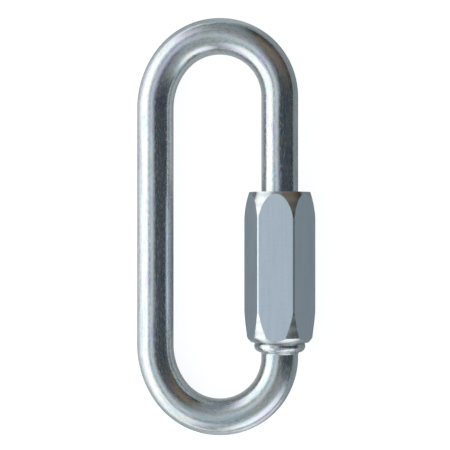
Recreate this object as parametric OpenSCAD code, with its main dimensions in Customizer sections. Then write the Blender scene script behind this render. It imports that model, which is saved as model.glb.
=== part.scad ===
// Chain quick link: a round bar bent into a long loop, with a hexagonal sleeve nut
// that screws across the loop's opening and closes it against a collar on the bar.
// It lies on its side as it comes to rest, on its back arm and on the sleeve.
// Z is up, Y runs along the link and the sleeve opens towards +Y.

/* [Bar] */
// Diameter of the round bar
bar_d = 10; // [8:0.1:11]
// Bend radius of each bow, to the axis of the bar
bow_r = 16.6; // [14:0.1:19]
// Length over both bows
overall_l = 113.8; // [106:0.1:150]
// How far the back arm stands outside the circle of the bows
back_set = 1; // [0:0.1:1.5]

/* [Collar] */
// How far the collar stands out from the bar
collar_out = 1.95; // [1.5:0.05:2.2]
// Height of the collar
collar_h = 2.6; // [2.2:0.1:4]
// Round on the rim that faces the sleeve
collar_seat_round = 0.5; // [0.2:0.1:0.7]
// Round on the rim that faces the bow, measured across the bar
collar_back_round = 1.2; // [0.5:0.1:1.2]
// Length of that round along the bar
collar_back_l = 1.6; // [0.5:0.1:1.7]
// Length of the fillet that runs from the bar up to the collar
fillet_l = 1.25; // [0.6:0.05:2]
// Height of that fillet above the bar
fillet_out = 0.65; // [0.3:0.05:0.9]

/* [Threaded ends] */
// Pitch of the thread
thread_pitch = 1.5; // [1:0.25:1.75]
// Length of the lower end that the sleeve screws on to
stub_l = 6; // [4:0.5:8]
// Opening between the two ends of the bar
opening = 10.5; // [8:0.5:12]
// Thread of the upper end that stays in the closed sleeve
engagement = 6; // [4:0.5:8]
// Chamfer on both ends of the bar
end_chamfer = 0.9; // [0.3:0.1:1.5]

/* [Sleeve nut] */
// Width across the flats of the hexagon
sleeve_af = 17; // [16:0.5:20]
// How far the closed sleeve reaches past the thread of the upper end
sleeve_cover = 1.75; // [1:0.05:5]
// How far the corners are turned down from sharp
corner_cut = 0.11; // [0.05:0.01:0.3]
// Length of the crowned end, measured along a corner
crown_l = 7.2; // [5:0.1:10]
// Fall of the whole crown, measured at a corner
crown_fall = 1.38; // [1:0.01:1.6]
// Length of the steeper part of the crown, next to its rim
crown_tip_l = 3.4; // [2.5:0.1:4]
// Fall of that steeper part
crown_tip_fall = 0.9; // [0.7:0.01:1]
// Radius of the curve along both parts of the crown
crown_r = 40; // [35:1:60]
// Length of the tapered end, towards the collar, measured along a corner
taper_l = 8.4; // [7:0.1:12]
// Fall of the whole taper, measured at a corner
taper_fall = 1.03; // [0.9:0.01:1.1]
// Length of the steeper part of the taper, next to its rim
taper_tip_l = 4.5; // [4:0.1:5]
// Fall of that steeper part
taper_tip_fall = 0.63; // [0.6:0.01:0.68]
// Radius of the slight curve along both parts of the taper
taper_r = 400; // [300:10:600]
// Radius of the flat face at the tapered end
face_r = 7.85; // [7.5:0.05:8]
// Radius of the round on the rim of that face
rim_r = 4; // [3:0.1:6]
// Angle from the sleeve's axis at which the round leaves the face
rim_angle = 50; // [45:1:60]
// Chamfer on the mouth of the bore at the crowned end
mouth_chamfer = 0.35; // [0.2:0.05:0.6]

/* [Fits] */
// Radial clearance of the thread
thread_clearance = 0.05; // [0.02:0.01:0.1]
// Radial clearance between the bar and the sleeve's plain bore
bore_clearance = 0.3; // [0.2:0.05:0.4]
// Clearance between the closed sleeve and the collar
seat_gap = 0.1; // [0.05:0.05:0.3]

/* [Rest] */
// Lean of the sleeve's flats from level as the link lies
sleeve_lean = 9; // [0:1:25]

/* [Hidden] */
$fn = 96;

// Segments in each rounded stretch of an outline
arc_steps = 8;
// Share of a thread's pitch by which its pitch diameter lies inside its outer diameter
thread_depth_share = 0.6495;
// How far a cutting shape runs past the face that it cuts
overcut = 1;
// Direction from a bow's centre, on a 3-4-5 triangle, at which it starts to ease into the back arm
ease_dir = [-0.8, 0.6];

bar_r = bar_d / 2;
zinc_bar = [0.74, 0.77, 0.8];
zinc_sleeve = [0.66, 0.71, 0.75];

// Loop: the sleeve's arm is at +arm_x and the back arm at -arm_x
arm_x = bow_r + back_set / 2;
arms_l = overall_l - 2 * bow_r - bar_d;
bow_centre = [arm_x - bow_r, arms_l / 2];
ease_set = back_set / (1 + ease_dir.x);
ease_r = bow_r + ease_set;
ease_centre = bow_centre - ease_set * ease_dir;

// Places along the sleeve's arm, counted from the tangent point of the lower bow
collar_base = fillet_l;
collar_top = collar_base + collar_h;
seat = collar_top + seat_gap;
travel = stub_l + opening;
lower_end = seat + stub_l;
upper_end = lower_end + opening;
nut_thread_l = travel + engagement;
upper_thread_end = upper_end + nut_thread_l;
sleeve_l = travel + nut_thread_l + sleeve_cover;

// Radii on the sleeve's arm: the threads are plain at their pitch diameter
thread_r = (bar_d - thread_depth_share * thread_pitch) / 2;
end_r = thread_r - end_chamfer;
collar_r = bar_r + collar_out;
fillet_r = bar_r + fillet_out;
nut_thread_r = thread_r + thread_clearance;
plain_bore_r = bar_r + bore_clearance;

// Sleeve: the corners are turned to corner_r, which leaves a narrow land on each
corner_r = sleeve_af / sqrt(3) - corner_cut;
land_angle = 30 - acos(sleeve_af / 2 / corner_r);
crown_foot = [corner_r, sleeve_l - crown_l];
crown_rim = [corner_r - crown_fall, sleeve_l];
crown_tip = crown_rim + [crown_tip_fall, -crown_tip_l];
taper_foot = [corner_r, taper_l];
taper_rim = [corner_r - taper_fall, 0];
taper_tip = taper_rim + [taper_tip_fall, taper_tip_l];
rim_centre = [face_r, 0] + rim_r * [-cos(rim_angle), sin(rim_angle)];

// As it lies, the back arm and one corner of the sleeve touch the ground
sleeve_drop = corner_r * cos(30 - land_angle - sleeve_lean);
sleeve_reach = corner_r * cos(max(0, sleeve_lean - land_angle));
rest_tilt = asin((sleeve_drop - bar_r) / (2 * arm_x));
middle_x = (bar_r - sleeve_reach) / 2;
middle_z = (bar_r + sleeve_drop) / 2;

// Points of an arc about a centre, from one angle to another
function arc(centre, r, from, to) =
    [for (i = [0:arc_steps]) centre + r * [cos(from + (to - from) * i / arc_steps),
                                           sin(from + (to - from) * i / arc_steps)]];

// Centre of the arc of a given radius from one point to another, on the left of the way between them
function arc_centre(p, q, r) =
    (p + q) / 2 + sqrt(r ^ 2 / norm(q - p) ^ 2 - 1 / 4) * [p.y - q.y, q.x - p.x];

// Points of the round from the collar's back out to its rim, a quarter of an ellipse
function back_points() =
    [for (i = [0:arc_steps]) [collar_r - collar_back_round * (1 - sin(90 * i / arc_steps)),
                              collar_base + collar_back_l * (1 - cos(90 * i / arc_steps))]];

// Points of a hollow fillet from the bar out to the collar, a quarter of an ellipse
function fillet_points() =
    [for (i = [0:arc_steps]) [fillet_r - fillet_out * cos(90 * i / arc_steps),
                              fillet_l * sin(90 * i / arc_steps)]];

// Turns the flat link to the way it lies, with the ground at z = 0
module as_it_lies() {
    translate([middle_x, 0, middle_z]) rotate([0, -rest_tilt, 0]) children();
}

// Places a turned shape on the axis of the sleeve's arm, from the lower bow upwards
module on_sleeve_arm() {
    translate([arm_x, -arms_l / 2, 0]) rotate([-90, 0, 0]) children();
}

// Block that lies past the start of the easing, or before it, as seen from a bow's centre
module beside_ease_start(past) {
    block = 2 * (bow_r + bar_d);
    translate(bow_centre) rotate(atan2(ease_dir.y, ease_dir.x))
        translate([0, past ? 0 : -block, -block / 2]) cube(block);
}

// One bow, from the sleeve's arm round to the back arm, with a wider bend for its last part
module bow() {
    difference() {
        translate(bow_centre) rotate_extrude(angle = 180) translate([bow_r, 0]) circle(d = bar_d);
        beside_ease_start(past = true);
    }
    difference() {
        translate(ease_centre) rotate_extrude(angle = 90, start = 90)
            translate([ease_r, 0]) circle(d = bar_d);
        beside_ease_start(past = false);
    }
}

// The straight back arm between the two bows
module back_arm() {
    translate([-arm_x, -ease_centre.y, 0]) rotate([-90, 0, 0])
        cylinder(h = 2 * ease_centre.y, d = bar_d);
}

// The lower end: a fillet and an upset collar, then the short threaded stub
module lower_stub() {
    rotate_extrude() polygon(concat(
        [[0, 0]],
        fillet_points(),
        back_points(),
        arc([collar_r - collar_seat_round, collar_top - collar_seat_round], collar_seat_round, 0, 90),
        [[thread_r, collar_top], [thread_r, lower_end - end_chamfer], [end_r, lower_end], [0, lower_end]]
    ));
}

// The upper end: the long thread, its run-out and the bar up to the upper bow
module upper_arm() {
    runout_l = bar_r - thread_r;
    rotate_extrude() polygon([
        [0, upper_end], [end_r, upper_end], [thread_r, upper_end + end_chamfer],
        [thread_r, upper_thread_end], [bar_r, upper_thread_end + runout_l],
        [bar_r, arms_l], [0, arms_l]
    ]);
}

// The bent bar, one piece from threaded end to threaded end
module link_bar() {
    color(zinc_bar) as_it_lies() {
        bow();
        mirror([0, 1, 0]) bow();
        back_arm();
        on_sleeve_arm() {
            lower_stub();
            upper_arm();
        }
    }
}

// Waste outside an arc about a centre, from the level of that centre to past one end of the sleeve
module outside_arc(centre, r, end_y) {
    difference() {
        translate([max(0, centre.x), min(centre.y, end_y)])
            square([2 * corner_r, abs(end_y - centre.y)]);
        translate(centre) circle(r = r, $fn = 720);
    }
}

// Turned form of the sleeve: tapered and rounded towards the collar, crowned at the other end
module sleeve_blank() {
    rotate_extrude() difference() {
        square([corner_r, sleeve_l]);
        outside_arc(arc_centre(crown_foot, crown_tip, crown_r), crown_r, sleeve_l + overcut);
        outside_arc(arc_centre(crown_tip, crown_rim, crown_r), crown_r, sleeve_l + overcut);
        outside_arc(arc_centre(taper_tip, taper_foot, taper_r), taper_r, -overcut);
        outside_arc(arc_centre(taper_rim, taper_tip, taper_r), taper_r, -overcut);
        outside_arc(rim_centre, rim_r, -overcut);
    }
}

// Bore of the sleeve: a countersink, the thread, then a plain bore that clears the bar and its chamfer
module sleeve_bore() {
    relief_l = plain_bore_r - nut_thread_r;
    rotate_extrude() polygon([
        [0, -overcut], [plain_bore_r, -overcut], [plain_bore_r, 0], [nut_thread_r, relief_l],
        [nut_thread_r, nut_thread_l], [plain_bore_r, nut_thread_l + relief_l],
        [plain_bore_r, sleeve_l - mouth_chamfer],
        [plain_bore_r + mouth_chamfer + overcut, sleeve_l + overcut], [0, sleeve_l + overcut]
    ]);
}

// The sleeve nut, turned from hexagonal bar
module sleeve_nut() {
    color(zinc_sleeve) as_it_lies() on_sleeve_arm() translate([0, 0, seat])
        rotate(rest_tilt - sleeve_lean) difference() {
            intersection() {
                sleeve_blank();
                cylinder(h = sleeve_l, r = sleeve_af / sqrt(3), $fn = 6);
            }
            sleeve_bore();
        }
}

link_bar();
sleeve_nut();
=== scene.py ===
import math

import bpy
from mathutils import Matrix


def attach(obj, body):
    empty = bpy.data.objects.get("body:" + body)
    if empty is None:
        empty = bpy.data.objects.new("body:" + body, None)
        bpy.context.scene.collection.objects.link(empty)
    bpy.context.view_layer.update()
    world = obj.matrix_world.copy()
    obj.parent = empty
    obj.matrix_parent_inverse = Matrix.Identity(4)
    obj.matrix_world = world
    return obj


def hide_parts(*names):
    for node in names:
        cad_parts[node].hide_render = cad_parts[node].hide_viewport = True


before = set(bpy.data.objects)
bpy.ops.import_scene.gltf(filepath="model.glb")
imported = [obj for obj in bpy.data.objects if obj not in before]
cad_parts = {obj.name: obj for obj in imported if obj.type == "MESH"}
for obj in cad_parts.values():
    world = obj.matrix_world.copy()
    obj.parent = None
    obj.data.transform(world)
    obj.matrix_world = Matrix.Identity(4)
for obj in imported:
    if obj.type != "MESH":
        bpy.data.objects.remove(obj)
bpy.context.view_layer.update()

# ---------------------------------------------------------------- sizes

# All in millimetres and degrees, as the solids have them. The link is first made flat: X runs
# across the loop, Y along it, and the sleeve's arm is the one at +X.
BAR_R = 5.0
ARM_X = 17.1
TANGENT_Y = 35.3
BOW_CENTRE, BOW_ANGLE = (0.5, 35.3), 143.1301
EASE_CENTRE, EASE_ANGLE = (4.5, 32.3), 36.8699
BOW_R, EASE_R = 16.6, 21.6

# Collar on the lower arm, in heights above the lower tangent point: the round of its upper edge,
# the bead below that, and the fillet into the bar
COLLAR_R, COLLAR_TOP = 6.95, 3.85
EDGE_ROUND_R, EDGE_ROUND_L = 0.5, 0.9
BEAD_ANGLE, BEAD_L = 80, 2.4
FILLET_OUT, FILLET_FOOT, FILLET_L = 0.5, 0.55, 0.7
FILLET_ANGLES = (90, 78, 66, 54, 42, 30, 18, 8, 0)

# Places on the sleeve's arm: the lower face of the closed sleeve, just off the collar, and the
# foot of the upper thread, with its run-out into the bar
FACE_Y, FACE_OFF = -31.35, 0.1
UPPER_THREAD_Y = 7.65
RUN_OUT_R, RUN_OUT_L = 4.5, 0.5

# Coarse 10 mm thread, right-handed, in heights from the closed sleeve's lower face. It starts a
# pitch and a half early and is trimmed, so the ends of the bar and the sleeve are in one phase.
PITCH = 1.5
CREST_R, ROOT_R = 4.96, 4.08
CREST_HALF, FLANK = 0.094, 30
THREAD_START = -2.25
STUB_TURNS, LONG_TURNS = 6, 18
STUB_END, UPPER_END = 6.0, 16.5
TIP_R, TIP_CHAMFER = 3.62, 1.6
ROD_EMBED = 0.9

# Sleeve, in heights from its lower face
SLEEVE_L, SLEEVE_AF = 40.75, 17.0
CORNER_ROUND = 0.7

# Turned ends of the sleeve: where each cut starts on a corner, how its slope changes, how long it
# is, the barrel between the two cuts, and the round of the lower rim
CORNER_R = 9.705
UPPER_CUT, UPPER_SLOPE, UPPER_CUT_L = 33.55, (4.4, 17.4), 7.35
LOWER_CUT, LOWER_SLOPE, LOWER_CUT_L = 8.4, (5.6, 8.2), 7.2
BARREL_R, BARREL_ENDS = 10.0, (11.4, 29.6)
RIM_CENTRE, RIM_R, RIM_ANGLES, RIM_TOP = (5.279, 3.064), 4.0, (-50, -25), 1.45

# Bore of the sleeve: the thread, a cone from it into the plain bore, a chamfered mouth, and a
# countersink at the lower face. The tap is larger than the bar's thread all round.
NUT_THREAD_L = 22.5
CONE_IN, CONE_BELOW, CONE_ABOVE = 0.1, 0.6, 0.8
PLAIN_BORE_R = 5.3
MOUTH_CHAMFER = 0.35
SINK_IN, SINK_DEPTH = 0.2, 1.22
TAP_CREST, TAP_ROOT, TAP_WIDEN = 0.09, 0.12, 0.03
TOOL_PAST = 1

# How finely each shape is drawn: sides round it, and rings or points along it
BAR_SIDES, SLEEVE_SIDES, BORE_SIDES, THREAD_SIDES = 72, 180, 96, 56
EDGE_RINGS, BEAD_RINGS = 10, 14
BOW_RINGS, EASE_RINGS, BACK_RINGS, ARM_RINGS = 54, 16, 24, 10
UPPER_RINGS, LOWER_RINGS, RIM_RINGS = 12, 8, 8
CORNER_SEGMENTS = 10

# How the link lies: on the back arm and on one corner of the sleeve, with the sleeve's side up
REST_TILT = math.asin(0.1207026)
REST_MOVE = (-2.30694, 0.0, 7.06401)
SLEEVE_LEAN = math.radians(9)

MM = 0.001


def m(*lengths):
    """Millimetres to metres."""
    return tuple(x * MM for x in lengths)


def mm(*lengths):
    """Metres to millimetres."""
    return tuple(x * 1000 for x in lengths)


LYING = Matrix.Translation(m(*REST_MOVE)) @ Matrix.Rotation(-REST_TILT, 4, "Y")
ON_SLEEVE_ARM = Matrix.Translation(m(ARM_X, FACE_Y, 0)) @ Matrix.Rotation(-math.pi / 2, 4, "X")


# ---------------------------------------------------------------- modelling

def only(piece):
    """Leaves one piece selected and active."""
    bpy.ops.object.select_all(action="DESELECT")
    piece.select_set(True)
    bpy.context.view_layer.objects.active = piece


def edit(piece):
    """Opens one piece for editing with nothing on it selected."""
    only(piece)
    bpy.ops.object.mode_set(mode="EDIT")
    bpy.ops.mesh.select_mode(type="VERT")
    bpy.ops.mesh.select_all(action="DESELECT")


def done():
    """Ends the editing of a piece."""
    bpy.ops.object.mode_set(mode="OBJECT")


def merge_doubles(piece):
    """Closes the seams of a shape and turns its faces outwards."""
    edit(piece)
    bpy.ops.mesh.select_all(action="SELECT")
    bpy.ops.mesh.remove_doubles(threshold=1e-6)
    bpy.ops.mesh.normals_make_consistent(inside=False)
    done()


def settle(piece, place):
    """Puts a piece in its place and leaves its object at the origin, unturned."""
    only(piece)
    piece.matrix_world = place
    bpy.ops.object.transform_apply(location=True, rotation=True, scale=True)


def pull(x, y, z):
    """Extrudes what is selected by a move in millimetres."""
    bpy.ops.mesh.extrude_region_move(TRANSFORM_OT_translate={"value": m(x, y, z)})


def outline(name, points):
    """A drawn outline in the XZ plane, pulled out point by point from a single corner."""
    bpy.ops.object.select_all(action="DESELECT")
    bpy.ops.mesh.primitive_plane_add(size=0.001)
    piece = bpy.context.object
    piece.name = name
    bpy.ops.object.mode_set(mode="EDIT")
    bpy.ops.mesh.select_mode(type="VERT")
    bpy.ops.mesh.select_all(action="SELECT")
    bpy.ops.mesh.merge(type="CENTER")
    bpy.ops.transform.translate(value=m(points[0][0], 0, points[0][1]))
    for (r0, z0), (r1, z1) in zip(points, points[1:]):
        pull(r1 - r0, 0, z1 - z0)
    done()
    return piece


def turned(name, points, sides):
    """A shape turned on a lathe about Z, from an outline of radius and height."""
    piece = outline(name, points)
    edit(piece)
    bpy.ops.mesh.select_all(action="SELECT")
    bpy.ops.mesh.spin(steps=sides, angle=math.tau, center=(0, 0, 0), axis=(0, 0, 1))
    done()
    merge_doubles(piece)
    return piece


def arc(centre, radius, start, end, count):
    """Points on an arc, angles in degrees from the outward direction."""
    turn = [math.radians(start + (end - start) * i / count) for i in range(count + 1)]
    return [(centre[0] + radius * math.cos(a), centre[1] + radius * math.sin(a)) for a in turn]


def falling_arc(foot, slope, length, count, down):
    """Points of an evenly curving run that draws in from its foot, up or down. Its slope, in
    degrees from the axis, goes from the first to the second."""
    (r, h), step = foot, length / count
    points = [foot]
    for i in range(count):
        a = math.radians(slope[0] + (slope[1] - slope[0]) * (i + 0.5) / count)
        r, h = r - step * math.sin(a), h + (-step if down else step) * math.cos(a)
        points.append((r, h))
    return points


def cut(piece, tool, operation):
    """Joins, cuts or trims a piece with a tool shape, which is then thrown away."""
    only(piece)
    bpy.ops.object.modifier_add(type="BOOLEAN")
    step = piece.modifiers[-1]
    step.operation, step.object, step.solver = operation, tool, "EXACT"
    bpy.ops.object.modifier_apply(modifier=step.name)
    bpy.data.meshes.remove(tool.data)


def thread(name, start, turns, crest_r, root_r, widen):
    """A solid screw thread about Z from a start height, right-handed, with sixty degree flanks."""
    crest = CREST_HALF + widen
    root = crest + (crest_r - root_r) * math.tan(math.radians(FLANK))
    half = PITCH / 2
    piece = outline(name, [
        (root_r, start), (root_r, start + half - root), (crest_r, start + half - crest),
        (crest_r, start + half + crest), (root_r, start + half + root), (root_r, start + PITCH),
    ])
    only(piece)
    bpy.ops.object.modifier_add(type="SCREW")
    wind = piece.modifiers[-1]
    wind.axis, wind.angle, wind.screw_offset = "Z", math.tau, PITCH * MM
    wind.iterations, wind.steps, wind.render_steps = turns, THREAD_SIDES, THREAD_SIDES
    wind.use_merge_vertices, wind.merge_threshold = True, 1e-7
    bpy.ops.object.modifier_apply(modifier=wind.name)
    merge_doubles(piece)
    # Each open end is closed with a fan of faces
    middle = (start + PITCH * (turns + 1) / 2) * MM
    for top in (False, True):
        edit(piece)
        bpy.ops.mesh.select_non_manifold()
        done()
        for edge in piece.data.edges:
            ends = [piece.data.vertices[i].co.z for i in edge.vertices]
            edge.select = edge.select and (sum(ends) / 2 > middle) == top
        for vertex in piece.data.vertices:
            vertex.select = vertex.select and (vertex.co.z > middle) == top
        bpy.ops.object.mode_set(mode="EDIT")
        pull(0, 0, 0)
        bpy.ops.mesh.merge(type="CENTER")
        done()
    merge_doubles(piece)
    return piece


def bend_round(centre, angle, rings):
    """Bends the bar on round a bow, clockwise as seen from above."""
    bpy.ops.mesh.spin(steps=rings, angle=math.radians(angle), center=m(*centre, 0),
                      axis=(0, 0, 1))


def run_along(from_y, to_y, rings):
    """Runs the bar straight on, in equal lengths."""
    for _ in range(rings):
        pull(0, (to_y - from_y) / rings, 0)


def forge_along(stations):
    """Runs the bar on along the sleeve's arm, through stations of radius and Y."""
    for (r0, y0), (r1, y1) in zip(stations, stations[1:]):
        pull(0, y1 - y0, 0)
        bpy.ops.transform.resize(value=(r1 / r0, 1, r1 / r0), center_override=m(ARM_X, y1, 0))


def collar():
    """Stations of radius and Y from the collar's face down to the lower tangent point."""
    rise = [(COLLAR_R - EDGE_ROUND_R + EDGE_ROUND_R * x,
             COLLAR_TOP - EDGE_ROUND_L + EDGE_ROUND_L * y)
            for x, y in arc((0, 0), 1, 90, 0, EDGE_RINGS)]
    rise += falling_arc(rise[-1], (0, BEAD_ANGLE), BEAD_L, BEAD_RINGS, True)[1:]
    for a in map(math.radians, FILLET_ANGLES):
        rise.append((BAR_R + FILLET_OUT - FILLET_OUT * math.cos(a),
                     FILLET_FOOT + FILLET_L * math.sin(a)))
    return [(r, h - TANGENT_Y) for r, h in rise] + [(BAR_R, -TANGENT_Y)]


def bent_bar():
    """The loop of round bar, from the collar's face round both bows to the upper thread."""
    stations = collar()
    bpy.ops.object.select_all(action="DESELECT")
    bpy.ops.mesh.primitive_circle_add(
        vertices=BAR_SIDES, radius=stations[0][0] * MM, fill_type="NOTHING",
        location=m(ARM_X, stations[0][1], 0), rotation=(math.pi / 2, 0, 0))
    bar = bpy.context.object
    bar.name = "bent_bar"
    bpy.ops.object.transform_apply(location=True, rotation=True, scale=True)
    bpy.ops.object.mode_set(mode="EDIT")
    bpy.ops.mesh.select_mode(type="VERT")
    bpy.ops.mesh.select_all(action="SELECT")
    forge_along(stations)
    bend_round((BOW_CENTRE[0], -BOW_CENTRE[1]), BOW_ANGLE, BOW_RINGS)
    bend_round((EASE_CENTRE[0], -EASE_CENTRE[1]), EASE_ANGLE, EASE_RINGS)
    run_along(-EASE_CENTRE[1], EASE_CENTRE[1], BACK_RINGS)
    bend_round(EASE_CENTRE, EASE_ANGLE, EASE_RINGS)
    bend_round(BOW_CENTRE, BOW_ANGLE, BOW_RINGS)
    run_along(TANGENT_Y, UPPER_THREAD_Y + RUN_OUT_L, ARM_RINGS)
    forge_along([(BAR_R, UPPER_THREAD_Y + RUN_OUT_L), (RUN_OUT_R, UPPER_THREAD_Y)])
    bpy.ops.mesh.select_all(action="DESELECT")
    bpy.ops.mesh.select_non_manifold()
    bpy.ops.mesh.fill_holes(sides=0)
    done()
    merge_doubles(bar)
    return bar


def threaded_end(name, start, turns, stem, tip, tip_up):
    """A threaded end of the bar, on Z: a thread trimmed by a turned blank with a chamfered tip."""
    rod = thread(name, start, turns, CREST_R, ROOT_R, 0)
    full_r = TIP_R + TIP_CHAMFER
    below_tip = tip - (TIP_CHAMFER if tip_up else -TIP_CHAMFER)
    blank = turned("blank", [(0, tip), (TIP_R, tip), (full_r, below_tip), (full_r, stem),
                             (0, stem)], BAR_SIDES)
    cut(rod, blank, "INTERSECT")
    return rod


def turned_ends():
    """Outline of the sleeve's turned ends. The barrel between them stays clear of the hexagon's
    corners, so each cut dies out on the flats in an arch."""
    upper = falling_arc((CORNER_R, UPPER_CUT), UPPER_SLOPE, UPPER_CUT_L, UPPER_RINGS, False)
    lower = falling_arc((CORNER_R, LOWER_CUT), LOWER_SLOPE, LOWER_CUT_L, LOWER_RINGS, True)
    rim = arc(RIM_CENTRE, RIM_R, *RIM_ANGLES, RIM_RINGS)
    return [(0, 0), *rim, *[p for p in reversed(lower) if p[1] > RIM_TOP],
            *[(BARREL_R, h) for h in BARREL_ENDS], *upper, (upper[-1][0], SLEEVE_L),
            (0, SLEEVE_L)]


def sleeve_nut():
    """The sleeve: rounded hexagon bar, turned at both ends, bored, countersunk and threaded."""
    bpy.ops.object.select_all(action="DESELECT")
    bpy.ops.mesh.primitive_cylinder_add(
        vertices=6, radius=SLEEVE_AF / math.sqrt(3) * MM, depth=(SLEEVE_L + 2 * TOOL_PAST) * MM,
        location=m(0, 0, SLEEVE_L / 2), rotation=(0, 0, math.pi / 2))
    nut = bpy.context.object
    nut.name = "sleeve_nut_hexagon"
    bpy.ops.object.transform_apply(location=True, rotation=True, scale=True)
    edit(nut)
    done()
    for edge in nut.data.edges:
        a, b = (nut.data.vertices[i].co for i in edge.vertices)
        edge.select = abs(a.z - b.z) > SLEEVE_L / 2 * MM
    bpy.ops.object.mode_set(mode="EDIT")
    bpy.ops.mesh.select_mode(type="EDGE")
    bpy.ops.mesh.bevel(offset=CORNER_ROUND * math.tan(math.radians(30)) * MM,
                       segments=CORNER_SEGMENTS, affect="EDGES")
    done()
    cut(nut, turned("blank", turned_ends(), SLEEVE_SIDES), "INTERSECT")
    cone_low, cone_high = NUT_THREAD_L - CONE_BELOW, NUT_THREAD_L + CONE_ABOVE
    bore = turned("bore", [
        (0, cone_low), (ROOT_R - CONE_IN, cone_low), (PLAIN_BORE_R, cone_high),
        (PLAIN_BORE_R, SLEEVE_L - MOUTH_CHAMFER),
        (PLAIN_BORE_R + (MOUTH_CHAMFER + TOOL_PAST), SLEEVE_L + TOOL_PAST),
        (0, SLEEVE_L + TOOL_PAST)], BORE_SIDES)
    cut(nut, bore, "DIFFERENCE")
    sink = turned("countersink", [
        (0, -TOOL_PAST), (PLAIN_BORE_R + TOOL_PAST, -TOOL_PAST),
        (ROOT_R - SINK_IN, SINK_DEPTH), (0, SINK_DEPTH)], BORE_SIDES)
    cut(nut, sink, "DIFFERENCE")
    tap = thread("tap", THREAD_START, LONG_TURNS, CREST_R + TAP_CREST, ROOT_R + TAP_ROOT,
                 TAP_WIDEN)
    cut(nut, tap, "DIFFERENCE")
    edit(nut)
    bpy.ops.mesh.select_all(action="SELECT")
    bpy.ops.mesh.dissolve_degenerate(threshold=2e-6)
    done()
    return nut


def bar_run(x, y):
    """Distance along the bar's axis and offset across it, in millimetres, of a point on the flat
    link."""
    far = abs(y)
    bow, ease = BOW_R * math.radians(BOW_ANGLE), EASE_R * math.radians(EASE_ANGLE)
    turn = math.atan2(far - BOW_CENTRE[1], x - BOW_CENTRE[0])
    past = math.atan2(far - EASE_CENTRE[1], x - EASE_CENTRE[0])
    if x > 0 and far <= TANGENT_Y:
        run, off = far - TANGENT_Y, x - ARM_X
    elif 0 <= turn <= math.radians(BOW_ANGLE):
        run, off = BOW_R * turn, math.hypot(x - BOW_CENTRE[0], far - BOW_CENTRE[1]) - BOW_R
    elif far > EASE_CENTRE[1]:
        run = bow + EASE_R * (past - math.radians(BOW_ANGLE))
        off = math.hypot(x - EASE_CENTRE[0], far - EASE_CENTRE[1]) - EASE_R
    else:
        run, off = bow + ease + EASE_CENTRE[1] - far, -ARM_X - x
    return math.copysign(bow + ease + EASE_CENTRE[1] - run, y), off


def mark_drawing(bar):
    """Keeps, for each point, its place in the bar's section and along the bar, for the finish."""
    drawn = bar.data.attributes.new("drawn", "FLOAT_VECTOR", "POINT")
    for i, vertex in enumerate(bar.data.vertices):
        x, y, z = mm(*vertex.co)
        along, off = bar_run(x, y)
        drawn.data[i].vector = m(off, z, along)


def smooth(piece, degrees):
    """Smooth shading that keeps edges sharper than an angle and leaves flats flat."""
    only(piece)
    bpy.ops.object.shade_smooth_by_angle(angle=math.radians(degrees))
    bpy.ops.object.modifier_add(type="WEIGHTED_NORMAL")
    weigh = piece.modifiers[-1]
    weigh.weight, weigh.keep_sharp = 50, True
    bpy.ops.object.modifier_apply(modifier=weigh.name)


bar = bent_bar()
for end in (threaded_end("lower_thread", THREAD_START, STUB_TURNS, -ROD_EMBED - FACE_OFF,
                         STUB_END, True),
            threaded_end("upper_thread", THREAD_START + UPPER_END, LONG_TURNS,
                         UPPER_THREAD_Y - FACE_Y + ROD_EMBED, UPPER_END, False)):
    settle(end, ON_SLEEVE_ARM)
    cut(bar, end, "UNION")
nut = sleeve_nut()


# ---------------------------------------------------------------- materials

def hex_colour(code):
    """An sRGB hex colour as linear RGBA."""
    parts = [int(code[i:i + 2], 16) / 255 for i in (1, 3, 5)]
    return [c / 12.92 if c <= 0.04045 else ((c + 0.055) / 1.055) ** 2.4 for c in parts] + [1.0]


def add(tree, kind, settings=None, **links):
    """Adds a node with its settings and links. A setting with a socket's name or number fills that
    socket, stops fill a colour ramp, and a node that is linked gives its first output."""
    made = tree.nodes.new(kind)
    for name, value in (settings or {}).items():
        if name == "stops":
            band = made.color_ramp.elements
            while len(band) < len(value):
                band.new(1.0)
            for element, (place, code) in zip(band, value):
                element.position, element.color = place, hex_colour(code)
        elif isinstance(name, int) or name in made.inputs:
            made.inputs[name].default_value = hex_colour(value) if isinstance(value, str) else value
        else:
            setattr(made, name, value)
    for name, source in links.items():
        socket = int(name[1:]) if name[0] == "_" else name.replace("_", " ")
        tree.links.new(getattr(source, "outputs", [source])[0], made.inputs[socket])
    return made


def new_material(name):
    """An empty node material and its tree."""
    material = bpy.data.materials.new(name)
    material.use_nodes = True
    tree = material.node_tree
    tree.nodes.clear()
    return material, tree


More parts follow.
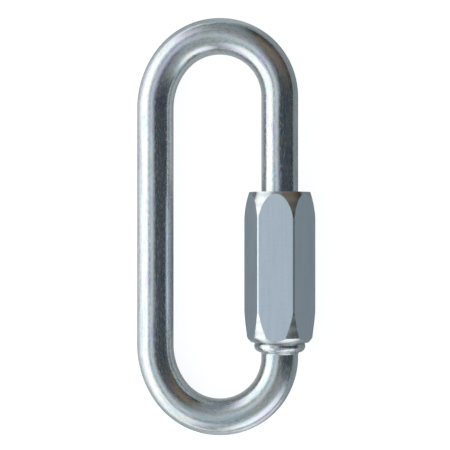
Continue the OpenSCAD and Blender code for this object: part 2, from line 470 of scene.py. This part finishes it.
def drawn_bar_zinc():
    """Bright zinc with a clear blue passivation on cold-drawn steel bar: a soft mirror, with faint
    lines along the bar from the drawing die, a fine grain, and a breath of lavender, straw and
    teal in the film."""
    material, tree = new_material("bright_zinc_on_drawn_steel_bar")
    place = add(tree, "ShaderNodeAttribute", {"attribute_name": "drawn"}).outputs["Vector"]
    # Draw lines are a few hundredths of a millimetre wide. They are drawn 0.4 mm wide and 17 mm
    # long, to show here.
    lines = add(tree, "ShaderNodeMapping", {"Scale": (2500, 2500, 60)}, Vector=place)
    line = add(tree, "ShaderNodeTexNoise", {"Scale": 1.0, "Detail": 3.0, "Roughness": 0.6},
               Vector=lines)
    # The plating's grain is finer too. It is drawn 0.3 mm across and 1.2 mm long, to show here.
    grains = add(tree, "ShaderNodeMapping", {"Scale": (3300, 3300, 830)}, Vector=place)
    grain = add(tree, "ShaderNodeTexNoise", {"Scale": 1.0, "Detail": 1.0}, Vector=grains)
    both = add(tree, "ShaderNodeMath", {"operation": "ADD"}, _0=line, _1=grain)
    even = add(tree, "ShaderNodeMapRange", {"From Min": 0.65, "From Max": 1.35}, Value=both)
    streak = add(tree, "ShaderNodeValToRGB", {"stops": [(0.0, "#DADDE0"), (0.6, "#FFFFFF")]},
                 Fac=even)
    # Film tints run along the bar, 2 mm wide and about 10 mm long
    patches = add(tree, "ShaderNodeMapping", {"Scale": (500, 500, 100)}, Vector=place)
    patch = add(tree, "ShaderNodeTexNoise", {"Scale": 1.0, "Detail": 1.0}, Vector=patches)
    film = add(tree, "ShaderNodeValToRGB", {"stops": [
        (0.32, "#DBD5E1"), (0.44, "#DEE7EB"), (0.55, "#E4E1DB"), (0.66, "#D0DDDF")]}, Fac=patch)
    tint = add(tree, "ShaderNodeMix", {"data_type": "RGBA", "blend_type": "MULTIPLY", 0: 1.0},
               _6=film, _7=streak)
    gloss = add(tree, "ShaderNodeMapRange", {"From Min": 0.3, "From Max": 0.7, "To Min": 0.16,
                                            "To Max": 0.24}, Value=line)
    # Dull specks of the grain scatter light into the dark bands
    specks = add(tree, "ShaderNodeMapRange", {"From Min": 0.5, "From Max": 0.72, "To Max": 0.14},
                 Value=grain)
    gloss = add(tree, "ShaderNodeMath", {"operation": "ADD"}, _0=gloss, _1=specks)
    # A small dull burr on the inner side of the back arm, 1.4 mm across
    apart = add(tree, "ShaderNodeVectorMath", {"operation": "DISTANCE", 1: m(-4.75, 1.56, 8.4)},
                _0=place)
    burr = add(tree, "ShaderNodeMapRange", {"interpolation_type": "SMOOTHSTEP",
                                           "From Max": 0.0007, "To Min": 1.0, "To Max": 0.0},
               Value=apart.outputs["Value"])
    marked = add(tree, "ShaderNodeBump", {"Strength": 1.0, "Distance": 0.0006}, Height=burr)
    relief = add(tree, "ShaderNodeBump", {"Strength": 0.08, "Distance": 0.00005}, Height=line,
                 Normal=marked)
    gloss = add(tree, "ShaderNodeMath", {"operation": "MULTIPLY_ADD", 1: 0.4}, _0=burr, _2=gloss)
    shader = add(tree, "ShaderNodeBsdfPrincipled", {"Metallic": 1.0}, Base_Color=tint.outputs[2],
                 Roughness=gloss, Normal=relief)
    add(tree, "ShaderNodeOutputMaterial", None, Surface=shader)
    return material


def cut_thread_zinc():
    """Zinc on a cut thread: duller than the bar, with a fine grey grain."""
    material, tree = new_material("zinc_on_cut_thread")
    place = add(tree, "ShaderNodeTexCoord").outputs["Object"]
    # Grain of the cut surface, 0.4 mm
    grain = add(tree, "ShaderNodeTexNoise", {"Scale": 2500.0, "Detail": 2.0}, Vector=place)
    tint = add(tree, "ShaderNodeValToRGB", {"stops": [(0.3, "#A9AFB4"), (0.7, "#C6CBCE")]},
               Fac=grain)
    gloss = add(tree, "ShaderNodeMapRange", {"To Min": 0.24, "To Max": 0.4}, Value=grain)
    shader = add(tree, "ShaderNodeBsdfPrincipled", {"Metallic": 1.0}, Base_Color=tint,
                 Roughness=gloss)
    add(tree, "ShaderNodeOutputMaterial", None, Surface=shader)
    return material


def hexagon_zinc():
    """Satin zinc on drawn hexagon bar: blue-grey flats that scatter the light, with a fine
    mottle."""
    material, tree = new_material("satin_zinc_on_hexagon_bar")
    place = add(tree, "ShaderNodeTexCoord").outputs["Object"]
    # Crystals of the plating show as a mottle about 0.5 mm across
    mottle = add(tree, "ShaderNodeTexNoise", {"Scale": 2000.0, "Detail": 3.0, "Roughness": 0.6},
                 Vector=place)
    # Faint runs from the drawing of the bar, 0.8 mm wide and 16 mm long
    runs = add(tree, "ShaderNodeMapping", {"Scale": (1250, 62, 1250)}, Vector=place)
    run = add(tree, "ShaderNodeTexNoise", {"Scale": 1.0, "Detail": 2.0}, Vector=runs)
    both = add(tree, "ShaderNodeMath", {"operation": "ADD"}, _0=mottle, _1=run)
    even = add(tree, "ShaderNodeMapRange", {"From Min": 0.6, "From Max": 1.4}, Value=both)
    tint = add(tree, "ShaderNodeValToRGB", {"stops": [
        (0.0, "#D4DFE8"), (0.5, "#DDE7EF"), (1.0, "#E5EDF3")]}, Fac=even)
    gloss = add(tree, "ShaderNodeMapRange", {"To Min": 0.32, "To Max": 0.42}, Value=mottle)
    relief = add(tree, "ShaderNodeBump", {"Strength": 0.08, "Distance": 0.00006}, Height=mottle)
    shader = add(tree, "ShaderNodeBsdfPrincipled", {"Metallic": 1.0}, Base_Color=tint,
                 Roughness=gloss, Normal=relief)
    add(tree, "ShaderNodeOutputMaterial", None, Surface=shader)
    return material


def turned_zinc():
    """Bright zinc over turned steel: the sleeve's two ends, with the tool's rings round them."""
    material, tree = new_material("bright_zinc_on_turned_steel")
    place = add(tree, "ShaderNodeTexCoord").outputs["Object"]
    # Tool rings are 0.1 mm apart. They are drawn 0.45 mm apart, to show here.
    rings = add(tree, "ShaderNodeTexWave", {
        "wave_type": "BANDS", "bands_direction": "Y", "Scale": 110.0, "Distortion": 1.5,
        "Detail": 2.0, "Detail Scale": 8.0}, Vector=place)
    ring = rings.outputs["Fac"]
    tint = add(tree, "ShaderNodeValToRGB", {"stops": [(0.0, "#C6CACB"), (1.0, "#DEE1E2")]},
               Fac=ring)
    gloss = add(tree, "ShaderNodeMapRange", {"To Min": 0.18, "To Max": 0.28}, Value=ring)
    relief = add(tree, "ShaderNodeBump", {"Strength": 0.16, "Distance": 0.00005}, Height=ring)
    shader = add(tree, "ShaderNodeBsdfPrincipled", {"Metallic": 1.0}, Base_Color=tint,
                 Roughness=gloss, Normal=relief)
    add(tree, "ShaderNodeOutputMaterial", None, Surface=shader)
    return material


thread_finish = cut_thread_zinc()
DRAWN, BAR_THREAD = 0, 1
for finish in (drawn_bar_zinc(), thread_finish):
    bar.data.materials.append(finish)
for face in bar.data.polygons:
    x, y, z = mm(*face.center)
    on_thread = COLLAR_TOP - TANGENT_Y < y < UPPER_THREAD_Y and x > 0
    on_thread = on_thread and math.hypot(x - ARM_X, z) < BAR_R
    face.material_index = BAR_THREAD if on_thread else DRAWN

# The sleeve's flats and corners are the level faces outside, and its bore the faces that look in
HEXAGON, TURNED, BORED = 0, 1, 2
OUTSIDE_R, LEVEL, INWARD = 8, 0.02, -1e-4
nut.data.materials.clear()
for finish in (hexagon_zinc(), turned_zinc(), thread_finish):
    nut.data.materials.append(finish)
for face in nut.data.polygons:
    way, spot = face.normal, face.center
    outside = math.hypot(spot.x, spot.y) * 1000 > OUTSIDE_R
    if way.x * spot.x + way.y * spot.y < INWARD:
        face.material_index = BORED
    else:
        face.material_index = HEXAGON if abs(way.z) < LEVEL and outside else TURNED

mark_drawing(bar)
smooth(bar, degrees=30)
smooth(nut, degrees=9)
settle(bar, LYING)
settle(nut, LYING @ ON_SLEEVE_ARM @ Matrix.Rotation(REST_TILT - SLEEVE_LEAN, 4, "Z"))

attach(bar, "link")
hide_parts("link_bar")
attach(nut, "sleeve")
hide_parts("sleeve_nut")


# ---------------------------------------------------------------- floor, light and camera

def studio_floor():
    """A pale paper floor, white to the camera, that keeps the link's shadow. What the metal mirrors
    of it is painted light and shade: painted shade on the right and an oval of painted shade beside
    the sleeve, painted softbox light on the left, and a painted pool of the lamp's light in front."""
    bpy.ops.object.select_all(action="DESELECT")
    bpy.ops.mesh.primitive_plane_add(size=8)
    floor = bpy.context.object
    floor.name = "paper_floor"
    material, tree = new_material("pale_matt_paper")
    ray = add(tree, "ShaderNodeLightPath").outputs
    spot = add(tree, "ShaderNodeTexCoord").outputs["Object"]
    place = add(tree, "ShaderNodeSeparateXYZ", None, Vector=spot)
    # Painted light and shade that the metal mirrors, across the link from 60 mm on the right to 60
    # mm
    # on the left: painted shade on the right, painted softbox light on the left
    across = add(tree, "ShaderNodeMapRange", {"From Min": 0.06, "From Max": -0.06}, Value=place)
    painted_light_across = add(tree, "ShaderNodeValToRGB", {"stops": [
        (0.1, "#3A3A3A"), (0.22, "#5A5A5A"), (0.3, "#5A5A5A"), (0.36, "#484848"),
        (0.42, "#9A9A9A"), (0.5, "#9A9A9A"), (0.58, "#808080"), (0.63, "#808080"),
        (0.7, "#8C8C8C"), (0.78, "#AAAAAA"), (0.92, "#FFFFFF")]}, Fac=across)
    # Painted light on the floor ahead of the lower bow, for the metal to mirror
    front = add(tree, "ShaderNodeMapRange", {"From Min": -0.055, "From Max": -0.075,
                                            "To Max": 0.12}, Value=place.outputs["Y"])
    # Painted shade beside the sleeve, an oval 20 by 50 mm, for the metal to mirror
    painted_shade_oval = add(tree, "ShaderNodeMapping", {"Location": (0.3, 0.44, 0), "Scale": (100.0, 40.0, 0)},
               Vector=spot)
    reach = add(tree, "ShaderNodeVectorMath", {"operation": "LENGTH"}, _0=painted_shade_oval).outputs["Value"]
    shade = add(tree, "ShaderNodeMapRange", {"interpolation_type": "SMOOTHSTEP", "From Min": 0.8,
                                            "From Max": 1.2, "To Min": 0.15}, Value=reach)
    # A painted pool of the small lamp's light in front of the lower bow, for the metal to mirror
    apart = add(tree, "ShaderNodeVectorMath", {"operation": "DISTANCE", 1: m(26, -80, 0)}, _0=spot)
    painted_lamp_pool = add(tree, "ShaderNodeMapRange", {"interpolation_type": "SMOOTHSTEP", "From Min": 0.012,
                                           "From Max": 0.024, "To Min": 0.6, "To Max": 0.0},
               Value=apart.outputs["Value"])
    # The painted light and shade are summed and given to glossy rays only, so the metal mirrors
    # them
    painted_light_ahead = add(tree, "ShaderNodeMath", {"operation": "ADD"}, _0=front, _1=painted_lamp_pool)
    bright = add(tree, "ShaderNodeMath", {"operation": "MULTIPLY_ADD"}, _0=painted_light_across, _1=shade,
                 _2=painted_light_ahead)
    mirrored = add(tree, "ShaderNodeMath", {"operation": "MULTIPLY_ADD"},
                   _0=ray["Is Glossy Ray"], _1=bright, _2=ray["Is Camera Ray"])
    seen = add(tree, "ShaderNodeMath", {"operation": "MAXIMUM"}, _0=mirrored,
               _1=ray["Is Transmission Ray"])
    level = add(tree, "ShaderNodeMath", {"operation": "MULTIPLY", 1: 0.86}, _0=seen)
    paper = add(tree, "ShaderNodeBsdfDiffuse", {"Color": "#BCC2C5"})
    white = add(tree, "ShaderNodeEmission", {"Color": "#FFFFFF"}, Strength=level)
    total = add(tree, "ShaderNodeAddShader", None, _0=paper, _1=white)
    add(tree, "ShaderNodeOutputMaterial", None, Surface=total)
    floor.data.materials.append(material)


def studio_light():
    """Plain soft light: a pale room, a wide softbox low on the left, a dim side on the right and a
    small lamp low in front on the right."""
    world = bpy.data.worlds.new("soft_studio")
    bpy.context.scene.world = world
    world.use_nodes = True
    tree = world.node_tree
    tree.nodes.clear()
    way = add(tree, "ShaderNodeTexCoord").outputs["Generated"]
    x, y, z = add(tree, "ShaderNodeSeparateXYZ", None, Vector=way).outputs
    aside = add(tree, "ShaderNodeMath", {"operation": "ABSOLUTE"}, _0=y)
    # Room: blue-white above the softbox, grey overhead and on the right, and blue-grey towards
    # both ends, darker at the far one
    across = add(tree, "ShaderNodeMapRange", {"From Min": -1.0, "From Max": 1.0}, Value=x)
    middle = add(tree, "ShaderNodeValToRGB", {"stops": [
        (0.2, "#A6B0B7"), (0.29, "#D9E4ED"), (0.34, "#D9E4ED"), (0.4, "#B1B9BE"),
        (0.47, "#A0A5A8"), (0.8, "#ACABA5")]}, Fac=across)
    length = add(tree, "ShaderNodeMapRange", {"From Min": -0.5, "From Max": 1.0}, Value=y)
    ends = add(tree, "ShaderNodeValToRGB", {"stops": [(0.2, "#A3ACB1"), (0.45, "#8D969B")]},
               Fac=length)
    toward_end = add(tree, "ShaderNodeMapRange", {"interpolation_type": "SMOOTHSTEP",
                                                 "From Min": 0.1, "From Max": 0.6}, Value=aside)
    walls = add(tree, "ShaderNodeMix", {"data_type": "RGBA"}, _0=toward_end, _6=middle, _7=ends)
    room = add(tree, "ShaderNodeBackground", None, Color=walls.outputs[2])
    # Dim side: a wedge from just left of overhead down to the right and the far end
    into = add(tree, "ShaderNodeVectorMath", {"operation": "DOT_PRODUCT", 1: (0.906, 0.423, 0)},
               _0=way)
    off = add(tree, "ShaderNodeVectorMath", {"operation": "DOT_PRODUCT", 1: (-0.423, 0.906, 0)},
              _0=way)
    off = add(tree, "ShaderNodeMath", {"operation": "ABSOLUTE"}, _0=off.outputs["Value"])
    wedge = add(tree, "ShaderNodeMath", {"operation": "MULTIPLY_ADD", 1: -0.95}, _0=off,
                _2=into.outputs["Value"])
    dimmed = add(tree, "ShaderNodeMapRange", {"interpolation_type": "SMOOTHSTEP",
                                             "From Min": -0.26, "From Max": 0.0}, Value=wedge)
    dark = add(tree, "ShaderNodeValToRGB", {"stops": [
        (0.06, "#707A74"), (0.2, "#505A5E"), (0.29, "#454D55"), (0.44, "#464D55"),
        (0.56, "#6A655F"), (0.65, "#82776B"), (0.78, "#82776B"), (0.93, "#6A655F")]}, Fac=length)
    # It darkens towards the floor, from higher up at the far end
    skirt = add(tree, "ShaderNodeMapRange", {"From Min": 0.05, "From Max": 0.3, "To Min": 0.12,
                                            "To Max": 0.65}, Value=y)
    depth = add(tree, "ShaderNodeMapRange", {"From Min": 0.1, "To Min": 0.25}, Value=z,
                From_Max=skirt)
    dim = add(tree, "ShaderNodeBackground", None, Color=dark, Strength=depth)
    sides = add(tree, "ShaderNodeMixShader", None, _0=dimmed, _1=room, _2=dim)
    # Softbox on the left, strongest at a right angle to the link
    low = add(tree, "ShaderNodeMapRange", {"interpolation_type": "SMOOTHSTEP", "From Min": 0.79,
                                          "From Max": 0.6}, Value=z)
    spread = add(tree, "ShaderNodeMath", {"operation": "MULTIPLY_ADD", 1: 0.5}, _0=aside, _2=x)
    spread = add(tree, "ShaderNodeMath", {"operation": "MULTIPLY_ADD", 1: 0.08}, _0=y, _2=spread)
    left = add(tree, "ShaderNodeMapRange", {"interpolation_type": "SMOOTHSTEP", "From Min": 0.25,
                                           "From Max": -0.3}, Value=spread)
    box = add(tree, "ShaderNodeMath", {"operation": "MULTIPLY"}, _0=low, _1=left)
    fall = add(tree, "ShaderNodeMapRange", {"From Min": 0.0, "From Max": -0.8}, Value=spread)
    panel = add(tree, "ShaderNodeValToRGB", {"stops": [
        (0.0, "#D4D8DA"), (0.15, "#DCE0E2"), (0.6, "#E6EAEC"), (0.95, "#FAFDFF")]}, Fac=fall)
    softbox = add(tree, "ShaderNodeBackground", {"Strength": 1.6}, Color=panel)
    lit = add(tree, "ShaderNodeMixShader", None, _0=box, _1=sides, _2=softbox)
    # Small lamp low in front on the right
    facing = add(tree, "ShaderNodeVectorMath", {"operation": "DOT_PRODUCT",
                                               1: (0.42, -0.89, 0.19)}, _0=way)
    spot = add(tree, "ShaderNodeMapRange", {"interpolation_type": "SMOOTHSTEP", "From Min": 0.8,
                                           "From Max": 0.98}, Value=facing.outputs["Value"])
    lamp = add(tree, "ShaderNodeBackground", {"Color": "#F8FBFF", "Strength": 1.35})
    total = add(tree, "ShaderNodeMixShader", None, _0=spot, _1=lit, _2=lamp)
    add(tree, "ShaderNodeOutputWorld", None, Surface=total)


def photo_camera():
    """A long lens straight above the link."""
    data = bpy.data.cameras.new("camera")
    camera = bpy.data.objects.new("camera", data)
    bpy.context.scene.collection.objects.link(camera)
    camera.location = m(-0.19, 0.43, 485.0)
    data.sensor_width, data.lens = 36.0, 140.16
    bpy.context.scene.camera = camera


studio_floor()
studio_light()
photo_camera()
bpy.context.scene.view_settings.view_transform = "Standard"
